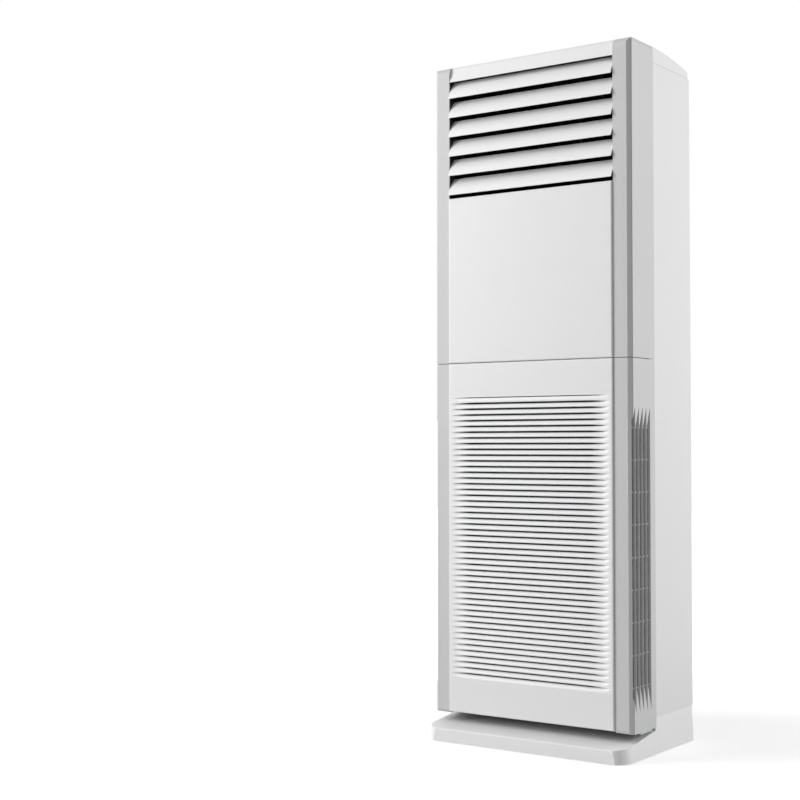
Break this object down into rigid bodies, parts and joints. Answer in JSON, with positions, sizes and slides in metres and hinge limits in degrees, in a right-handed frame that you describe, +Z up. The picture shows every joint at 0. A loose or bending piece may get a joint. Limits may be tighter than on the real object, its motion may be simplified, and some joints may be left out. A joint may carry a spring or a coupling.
{
  "type": "floor standing air conditioner",
  "caption": "Tall cabinet air conditioner with tilting outlet louvres, swinging vanes, a louvred intake door with a filter, and a centrifugal fan.",
  "frame": {"origin": "on the floor, under the middle of the outline", "axes": "+X right seen from the front, +Y back, +Z up"},
  "size_m": [0.572, 0.4, 1.76],
  "materials": {
    "white_moulding": "satin white moulding",
    "grey_moulding": "satin light grey moulding",
    "light_moulding": "satin off-white moulding",
    "white_steel": "powder coated off-white",
    "zinc_steel": "zinc coated sheet",
    "screw_steel": "zinc plated",
    "black_rubber": "matt black",
    "black_moulding": "matt black moulding",
    "filter_moulding": "dark grey filter",
    "foam": "black foam liner",
    "motor_paint": "grey enamel",
    "aluminium_fin": "bare fin stock",
    "copper": "bright copper",
    "brass_nut": "turned brass",
    "hose_moulding": "natural white",
    "board": "circuit board"
  },
  "bodies": {
    "cabinet": {"upper_front_panel": "white_moulding", "top_fascia": "white_moulding", "upper_left_pillar": "grey_moulding", "upper_right_pillar": "grey_moulding", "lower_left_pillar": "grey_moulding", "lower_right_pillar": "grey_moulding", "base_plinth": "light_moulding", "top_cover": "light_moulding", "left_side_panel": "white_steel", "right_side_panel": "white_steel", "rear_panel": "white_steel", "floor_pan": "zinc_steel", "middle_rail": "zinc_steel", "blower_deck": "zinc_steel", "scroll_housing": "zinc_steel", "scroll_front": "zinc_steel", "motor_bracket": "zinc_steel", "coil_front_plate": "zinc_steel", "coil_plates": "zinc_steel", "electrical_box": "zinc_steel", "electrical_lid": "zinc_steel", "casing_screws": "screw_steel", "rubber_pads": "black_rubber", "motor_grommets": "black_rubber", "pipe_grommet": "black_rubber", "outlet_frame": "black_moulding", "terminal_block": "black_moulding", "outlet_duct": "foam", "fan_motor": "motor_paint", "swing_motors": "motor_paint", "coil_fins": "aluminium_fin", "coil_tubes": "copper", "gas_pipe": "copper", "liquid_pipe": "copper", "flare_nuts": "brass_nut", "drain_hose": "hose_moulding", "drain_tray": "hose_moulding", "control_board": "board", "receiver_board": "board"},
    "intake_door": {"lower_intake_panel": "white_moulding"},
    "filter": {"filter_frame": "filter_moulding", "filter_net": "filter_moulding"},
    "fan_rotor": {"fan_wheel": "black_moulding", "fan_blades": "black_moulding", "motor_shaft": "screw_steel"},
    "louvre_1": {"louvre_1": "white_moulding"},
    "louvre_2": {"louvre_2": "white_moulding"},
    "louvre_3": {"louvre_3": "white_moulding"},
    "louvre_4": {"louvre_4": "white_moulding"},
    "louvre_5": {"louvre_5": "white_moulding"},
    "louvre_6": {"louvre_6": "white_moulding"},
    "vane_1": {"vane_1": "black_moulding"},
    "vane_2": {"vane_2": "black_moulding"},
    "vane_3": {"vane_3": "black_moulding"},
    "vane_4": {"vane_4": "black_moulding"},
    "vane_5": {"vane_5": "black_moulding"},
    "vane_6": {"vane_6": "black_moulding"},
    "vane_7": {"vane_7": "black_moulding"},
    "louvre_link": {"louvre_link": "black_moulding"},
    "vane_link": {"vane_link": "black_moulding"}
  },
  "joints": [
    {"name": "door_tilt", "type": "hinge", "parent": "cabinet", "child": "intake_door", "pos_m": [0, -0.1455, 0.078], "axis": [1, 0, 0], "range_deg": [0, 18]},
    {"name": "filter_lift", "type": "slide", "parent": "intake_door", "child": "filter", "axis": [0, 0, 1], "range_m": [0, 0.025]},
    {"name": "fan_spin", "type": "hinge", "parent": "cabinet", "child": "fan_rotor", "pos_m": [-0.025, 0.02, 0.56], "axis": [0, 1, 0], "continuous": true},
    {"name": "louvre_1_tilt", "type": "hinge", "parent": "cabinet", "child": "louvre_1", "pos_m": [0, -0.14552, 1.69366], "axis": [1, 0, 0], "range_deg": [-75, 26]},
    {"name": "louvre_2_tilt", "type": "hinge", "parent": "cabinet", "child": "louvre_2", "pos_m": [0, -0.14552, 1.64276], "axis": [1, 0, 0], "range_deg": [-75, 26]},
    {"name": "louvre_3_tilt", "type": "hinge", "parent": "cabinet", "child": "louvre_3", "pos_m": [0, -0.14552, 1.59186], "axis": [1, 0, 0], "range_deg": [-75, 26]},
    {"name": "louvre_4_tilt", "type": "hinge", "parent": "cabinet", "child": "louvre_4", "pos_m": [0, -0.14552, 1.54096], "axis": [1, 0, 0], "range_deg": [-75, 26]},
    {"name": "louvre_5_tilt", "type": "hinge", "parent": "cabinet", "child": "louvre_5", "pos_m": [0, -0.14552, 1.49006], "axis": [1, 0, 0], "range_deg": [-75, 26]},
    {"name": "louvre_6_tilt", "type": "hinge", "parent": "cabinet", "child": "louvre_6", "pos_m": [0, -0.14552, 1.43916], "axis": [1, 0, 0], "range_deg": [-75, 26]},
    {"name": "louvre_link_turn", "type": "hinge", "parent": "louvre_4", "child": "louvre_link", "pos_m": [0.2462, -0.12752, 1.54096], "axis": [1, 0, 0], "range_deg": [-26, 75]},
    {"name": "vane_1_swing", "type": "hinge", "parent": "cabinet", "child": "vane_1", "pos_m": [-0.186, -0.076, 1.4067], "axis": [0, 0, 1], "range_deg": [-35, 35]},
    {"name": "vane_2_swing", "type": "hinge", "parent": "cabinet", "child": "vane_2", "pos_m": [-0.124, -0.076, 1.4067], "axis": [0, 0, 1], "range_deg": [-35, 35]},
    {"name": "vane_3_swing", "type": "hinge", "parent": "cabinet", "child": "vane_3", "pos_m": [-0.062, -0.076, 1.4067], "axis": [0, 0, 1], "range_deg": [-35, 35]},
    {"name": "vane_4_swing", "type": "hinge", "parent": "cabinet", "child": "vane_4", "pos_m": [0, -0.076, 1.4067], "axis": [0, 0, 1], "range_deg": [-35, 35]},
    {"name": "vane_5_swing", "type": "hinge", "parent": "cabinet", "child": "vane_5", "pos_m": [0.062, -0.076, 1.4067], "axis": [0, 0, 1], "range_deg": [-35, 35]},
    {"name": "vane_6_swing", "type": "hinge", "parent": "cabinet", "child": "vane_6", "pos_m": [0.124, -0.076, 1.4067], "axis": [0, 0, 1], "range_deg": [-35, 35]},
    {"name": "vane_7_swing", "type": "hinge", "parent": "cabinet", "child": "vane_7", "pos_m": [0.186, -0.076, 1.4067], "axis": [0, 0, 1], "range_deg": [-35, 35]},
    {"name": "vane_link_turn", "type": "hinge", "parent": "vane_4", "child": "vane_link", "pos_m": [0, -0.061, 1.729], "axis": [0, 0, 1], "range_deg": [-35, 35]}
  ],
  "couplings": [
    {"joint": "louvre_1_tilt", "follows": "louvre_4_tilt", "ratio": 1},
    {"joint": "louvre_2_tilt", "follows": "louvre_4_tilt", "ratio": 1},
    {"joint": "louvre_3_tilt", "follows": "louvre_4_tilt", "ratio": 1},
    {"joint": "louvre_5_tilt", "follows": "louvre_4_tilt", "ratio": 1},
    {"joint": "louvre_6_tilt", "follows": "louvre_4_tilt", "ratio": 1},
    {"joint": "louvre_link_turn", "follows": "louvre_4_tilt", "ratio": -1},
    {"joint": "vane_1_swing", "follows": "vane_4_swing", "ratio": 1},
    {"joint": "vane_2_swing", "follows": "vane_4_swing", "ratio": 1},
    {"joint": "vane_3_swing", "follows": "vane_4_swing", "ratio": 1},
    {"joint": "vane_5_swing", "follows": "vane_4_swing", "ratio": 1},
    {"joint": "vane_6_swing", "follows": "vane_4_swing", "ratio": 1},
    {"joint": "vane_7_swing", "follows": "vane_4_swing", "ratio": 1},
    {"joint": "vane_link_turn", "follows": "vane_4_swing", "ratio": -1}
  ]
}
